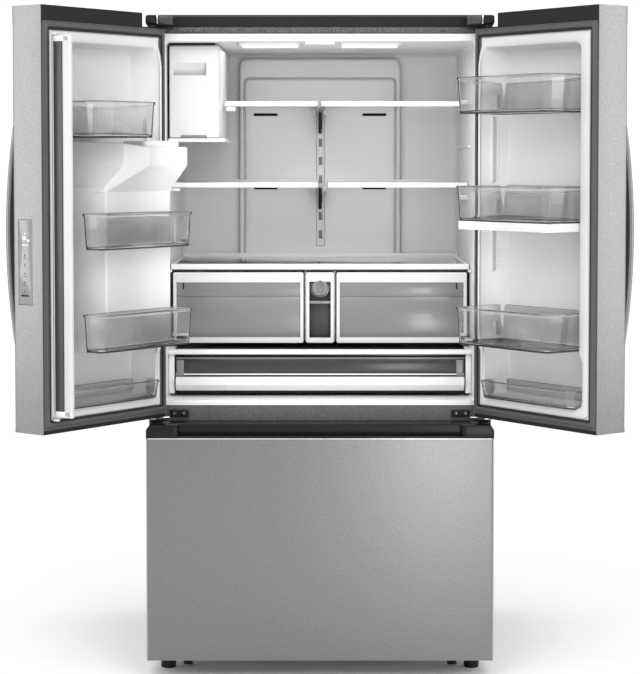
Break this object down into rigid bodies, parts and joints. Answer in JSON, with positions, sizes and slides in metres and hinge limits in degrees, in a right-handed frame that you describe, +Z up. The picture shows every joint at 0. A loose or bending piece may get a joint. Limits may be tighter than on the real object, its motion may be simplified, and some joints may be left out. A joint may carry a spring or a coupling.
{
  "type": "french door refrigerator",
  "caption": "French door refrigerator with two bow-handled doors over a pull-out freezer drawer, glass shelves, crispers, ice maker and door bins.",
  "frame": {"origin": "on the floor, centred under the box of the whole part as stored, with both doors open", "axes": "+Z up, +X to the right seen from the front, the doors and drawer face -Y"},
  "size_m": [1.5786, 1.1884, 1.739],
  "materials": {
    "case_steel": "satin",
    "stainless": "satin",
    "dark_trim": "gloss",
    "hinge_steel": "satin",
    "black_cover": "satin",
    "white_liner": "satin",
    "door_back": "satin",
    "foam": "matte",
    "gasket_grey": "matte",
    "lamp_lens": "satin",
    "shelf_glass": "gloss",
    "bin_clear": "gloss",
    "crisper_clear": "gloss",
    "smoked": "gloss",
    "galvanised": "satin",
    "copper_tube": "satin",
    "coil_aluminium": "satin",
    "fan_plastic": "matte",
    "black_enamel": "gloss",
    "rail_steel": "satin",
    "roller_plastic": "matte",
    "panel_glass": "gloss",
    "dispenser_grey": "satin",
    "mullion_steel": "satin"
  },
  "bodies": {
    "cabinet": {"outer_case": "case_steel", "back_cover": "galvanised", "cabinet_insulation": "foam", "fresh_food_liner": "white_liner", "freezer_liner": "white_liner", "top_cover": "black_cover", "upper_hinges": "hinge_steel", "center_hinges": "hinge_steel", "ceiling_lamps": "lamp_lens", "duct_cover": "white_liner", "upper_shelves": "shelf_glass", "lower_shelves": "shelf_glass", "crisper_cover": "shelf_glass", "filter_housing": "white_liner", "pantry_cover": "white_liner", "ice_maker_housing": "white_liner", "evaporator": "coil_aluminium", "compressor": "black_enamel", "condenser": "copper_tube", "machine_cover": "galvanised", "water_valve": "white_liner", "base_frame": "galvanised", "drawer_fixed_rails": "rail_steel"},
    "evaporator_fan": {"evaporator_fan": "fan_plastic"},
    "condenser_fan": {"condenser_fan": "fan_plastic"},
    "left_crisper": {"left_crisper": "crisper_clear"},
    "right_crisper": {"right_crisper": "crisper_clear"},
    "filter_cartridge": {"filter_cartridge": "white_liner"},
    "pantry_drawer": {"pantry_drawer": "smoked"},
    "ice_bucket": {"ice_bucket": "white_liner"},
    "left_levelling_foot": {"left_levelling_foot": "black_cover"},
    "right_levelling_foot": {"right_levelling_foot": "black_cover"},
    "front_rollers": {"front_rollers": "roller_plastic"},
    "rear_rollers": {"rear_rollers": "roller_plastic"},
    "drawer_middle_rails": {"drawer_middle_rails": "rail_steel"},
    "upper_basket": {"upper_basket": "crisper_clear"},
    "flipper_mullion": {"flipper_mullion": "mullion_steel"},
    "dispenser_paddle": {"dispenser_paddle": "dispenser_grey"},
    "drip_tray": {"drip_tray": "dispenser_grey"},
    "freezer_drawer": {"drawer_skin": "stainless", "drawer_top_trim": "dark_trim", "drawer_core": "door_back", "drawer_gasket": "gasket_grey", "freezer_basket": "crisper_clear", "drawer_inner_rails": "rail_steel"},
    "left_door": {"left_door_skin": "stainless", "left_door_end_caps": "black_cover", "left_door_liner": "white_liner", "left_door_gasket": "gasket_grey", "left_door_handle": "stainless", "left_door_bins": "bin_clear", "ice_chute": "white_liner", "control_panel": "panel_glass", "dispenser_housing": "dispenser_grey"},
    "right_door": {"right_door_skin": "stainless", "right_door_end_caps": "black_cover", "right_door_liner": "white_liner", "right_door_gasket": "gasket_grey", "right_door_handle": "stainless", "right_door_bins": "bin_clear"}
  },
  "joints": [
    {"name": "left_door_hinge", "type": "hinge", "parent": "cabinet", "child": "left_door", "pos_m": [-0.439, -0.2, 1.2], "axis": [0, 0, -1], "range_deg": [-127, 0]},
    {"name": "right_door_hinge", "type": "hinge", "parent": "cabinet", "child": "right_door", "pos_m": [0.439, -0.2, 1.2], "axis": [0, 0, 1], "range_deg": [-127, 0]},
    {"name": "mullion_fold", "type": "hinge", "parent": "left_door", "child": "flipper_mullion", "pos_m": [-0.646, -0.55113, 1.194], "axis": [0, 0, -1], "range_deg": [0, 90]},
    {"name": "left_crisper_slide", "type": "slide", "parent": "cabinet", "child": "left_crisper", "axis": [0, -1, 0], "range_m": [0, 0.24]},
    {"name": "right_crisper_slide", "type": "slide", "parent": "cabinet", "child": "right_crisper", "axis": [0, -1, 0], "range_m": [0, 0.24]},
    {"name": "pantry_slide", "type": "slide", "parent": "cabinet", "child": "pantry_drawer", "axis": [0, -1, 0], "range_m": [0, 0.38]},
    {"name": "filter_pull", "type": "slide", "parent": "cabinet", "child": "filter_cartridge", "axis": [0, -1, 0], "range_m": [0, 0.12]},
    {"name": "ice_bucket_slide", "type": "slide", "parent": "cabinet", "child": "ice_bucket", "axis": [0, -1, 0], "range_m": [0, 0.3]},
    {"name": "freezer_drawer_slide", "type": "slide", "parent": "cabinet", "child": "freezer_drawer", "axis": [0, -1, 0], "range_m": [0, 0.44]},
    {"name": "middle_rail_slide", "type": "slide", "parent": "cabinet", "child": "drawer_middle_rails", "axis": [0, -1, 0], "range_m": [0, 0.22]},
    {"name": "upper_basket_slide", "type": "slide", "parent": "freezer_drawer", "child": "upper_basket", "axis": [0, 1, 0], "range_m": [0, 0.2]},
    {"name": "evaporator_fan_spin", "type": "hinge", "parent": "cabinet", "child": "evaporator_fan", "pos_m": [0, 0.364, 0.535], "axis": [0, 1, 0], "continuous": true},
    {"name": "condenser_fan_spin", "type": "hinge", "parent": "cabinet", "child": "condenser_fan", "pos_m": [-0.03, 0.472, 0.17], "axis": [0, 1, 0], "continuous": true},
    {"name": "front_roller_spin", "type": "hinge", "parent": "cabinet", "child": "front_rollers", "pos_m": [0, -0.118, 0.024], "axis": [1, 0, 0], "continuous": true},
    {"name": "rear_roller_spin", "type": "hinge", "parent": "cabinet", "child": "rear_rollers", "pos_m": [0, 0.532, 0.024], "axis": [1, 0, 0], "continuous": true},
    {"name": "left_foot_level", "type": "slide", "parent": "cabinet", "child": "left_levelling_foot", "axis": [0, 0, -1], "range_m": [0, 0.015]},
    {"name": "right_foot_level", "type": "slide", "parent": "cabinet", "child": "right_levelling_foot", "axis": [0, 0, -1], "range_m": [0, 0.015]},
    {"name": "paddle_press", "type": "hinge", "parent": "left_door", "child": "dispenser_paddle", "pos_m": [-0.56359, -0.37032, 1.183], "axis": [-0.6018, -0.7986, 0], "range_deg": [0, 5.5], "stiffness_Nm_per_rad": 0.5},
    {"name": "drip_tray_pull", "type": "slide", "parent": "left_door", "child": "drip_tray", "axis": [-0.7986, 0.6018, 0], "range_m": [0, 0.05]}
  ],
  "couplings": [
    {"joint": "middle_rail_slide", "follows": "freezer_drawer_slide", "ratio": 0.5}
  ]
}
